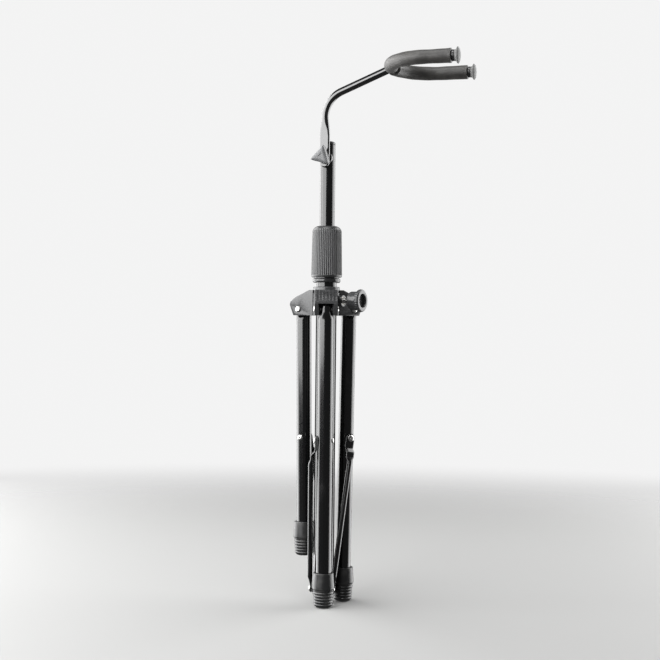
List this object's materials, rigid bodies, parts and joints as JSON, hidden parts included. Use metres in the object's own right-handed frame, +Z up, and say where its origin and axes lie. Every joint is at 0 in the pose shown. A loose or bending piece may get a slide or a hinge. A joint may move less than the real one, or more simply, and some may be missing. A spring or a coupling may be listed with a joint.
{
  "type": "folding tripod instrument stand",
  "caption": "Folding tripod instrument stand: telescopic mast with twist clutch, sliding hub with legs and struts, and a tilting neck with a foam-padded U fork.",
  "frame": {"origin": "centre of the flat lower end of the base plug, on the mast's axis", "axes": "+Z up the mast, +X the way the fork's arms point, so the neck knob's axis is -Y"},
  "size_m": [0.1937, 0.103, 0.5747],
  "materials": {
    "tube_paint": "glossy black powder coat",
    "rod_paint": "glossy black paint",
    "hub_plastic": "satin moulded",
    "grip_plastic": "satin, finely ribbed",
    "inner_plastic": "natural moulded",
    "foot_rubber": "matte",
    "bright_steel": "bright nickel plate",
    "knob_plastic": "satin moulded",
    "cap_plastic": "satin moulded",
    "grey_foam": "closed-cell foam, matte",
    "insert_brass": "machined"
  },
  "bodies": {
    "root": {"base_tube": "tube_paint", "base_plug": "hub_plastic", "clutch_body": "hub_plastic", "clutch_collet": "inner_plastic", "strut_screw_front": "bright_steel", "strut_screw_right": "bright_steel", "strut_screw_left": "bright_steel"},
    "hub": {"hub_body": "hub_plastic", "hub_insert": "insert_brass", "brake_pad": "foot_rubber", "leg_rivet_front": "bright_steel", "leg_rivet_right": "bright_steel", "leg_rivet_left": "bright_steel"},
    "hub_knob": {"hub_knob": "hub_plastic", "hub_knob_screw": "bright_steel"},
    "leg_front": {"leg_front": "tube_paint", "foot_front": "foot_rubber", "rivet_tail_front": "bright_steel"},
    "leg_right": {"leg_right": "tube_paint", "foot_right": "foot_rubber", "rivet_tail_right": "bright_steel"},
    "leg_left": {"leg_left": "tube_paint", "foot_left": "foot_rubber", "rivet_tail_left": "bright_steel"},
    "strut_front": {"strut_front": "rod_paint", "rivet_head_front": "bright_steel"},
    "strut_right": {"strut_right": "rod_paint", "rivet_head_right": "bright_steel"},
    "strut_left": {"strut_left": "rod_paint", "rivet_head_left": "bright_steel"},
    "grip": {"clutch_grip": "grip_plastic"},
    "slider": {"guide_bush": "inner_plastic"},
    "mast": {"extension_tube": "tube_paint", "mast_cap": "hub_plastic", "neck_bolt": "bright_steel", "neck_saddle": "hub_plastic"},
    "neck": {"neck_rod": "rod_paint", "fork_rod": "rod_paint", "foam_near": "grey_foam", "foam_far": "grey_foam", "foam_stop_near": "hub_plastic", "foam_stop_far": "hub_plastic", "end_cap_near": "cap_plastic", "end_cap_far": "cap_plastic"},
    "neck_knob": {"neck_knob": "knob_plastic", "neck_knob_insert": "insert_brass"}
  },
  "joints": [
    {"name": "hub_slide", "type": "slide", "parent": "root", "child": "hub", "axis": [0, 0, -1], "range_m": [0, 0.13225]},
    {"name": "leg_front_hinge", "type": "hinge", "parent": "hub", "child": "leg_front", "pos_m": [0.00819, -0.02678, 0.3045], "axis": [-0.9563, -0.2924, 0], "range_deg": [0, 55.1]},
    {"name": "leg_right_hinge", "type": "hinge", "parent": "hub", "child": "leg_right", "pos_m": [0.0191, 0.02048, 0.3045], "axis": [0.7314, -0.682, 0], "range_deg": [0, 55.1]},
    {"name": "leg_left_hinge", "type": "hinge", "parent": "hub", "child": "leg_left", "pos_m": [-0.02728, 0.0063, 0.3045], "axis": [0.225, 0.9744, 0], "range_deg": [0, 55.1]},
    {"name": "strut_front_hinge", "type": "hinge", "parent": "root", "child": "strut_front", "pos_m": [0.00073, -0.00239, 0.0068], "axis": [0.9563, 0.2924, 0], "range_deg": [0, 50.05]},
    {"name": "strut_right_hinge", "type": "hinge", "parent": "root", "child": "strut_right", "pos_m": [0.0017, 0.00183, 0.0068], "axis": [-0.7314, 0.682, 0], "range_deg": [0, 50.05]},
    {"name": "strut_left_hinge", "type": "hinge", "parent": "root", "child": "strut_left", "pos_m": [-0.00244, 0.00056, 0.0068], "axis": [-0.225, -0.9744, 0], "range_deg": [0, 50.05]},
    {"name": "hub_knob_turn", "type": "hinge", "parent": "hub", "child": "hub_knob", "pos_m": [0.02923, -0.00675, 0.3136], "axis": [0.9744, -0.225, 0], "range_deg": [-90, 270]},
    {"name": "grip_turn", "type": "hinge", "parent": "root", "child": "grip", "pos_m": [0, 0, 0.366], "axis": [0, 0, 1], "range_deg": [-30, 180]},
    {"name": "mast_slide", "type": "slide", "parent": "root", "child": "slider", "axis": [0, 0, 1], "range_m": [0, 0.25]},
    {"name": "mast_swivel", "type": "hinge", "parent": "slider", "child": "mast", "pos_m": [0, 0, 0.035], "axis": [0, 0, 1], "continuous": true},
    {"name": "neck_tilt", "type": "hinge", "parent": "mast", "child": "neck", "pos_m": [0, -0.0113, 0.4655], "axis": [0, 1, 0], "range_deg": [-25, 60]},
    {"name": "neck_knob_turn", "type": "hinge", "parent": "mast", "child": "neck_knob", "pos_m": [0, -0.02, 0.4655], "axis": [0, -1, 0], "range_deg": [-90, 270]}
  ],
  "couplings": [
    {"joint": "leg_front_hinge", "follows": "hub_slide", "rad_per_m": 7.2583},
    {"joint": "leg_right_hinge", "follows": "hub_slide", "rad_per_m": 7.2583},
    {"joint": "leg_left_hinge", "follows": "hub_slide", "rad_per_m": 7.2583},
    {"joint": "strut_front_hinge", "follows": "hub_slide", "rad_per_m": 6.5919},
    {"joint": "strut_right_hinge", "follows": "hub_slide", "rad_per_m": 6.5919},
    {"joint": "strut_left_hinge", "follows": "hub_slide", "rad_per_m": 6.5919}
  ]
}
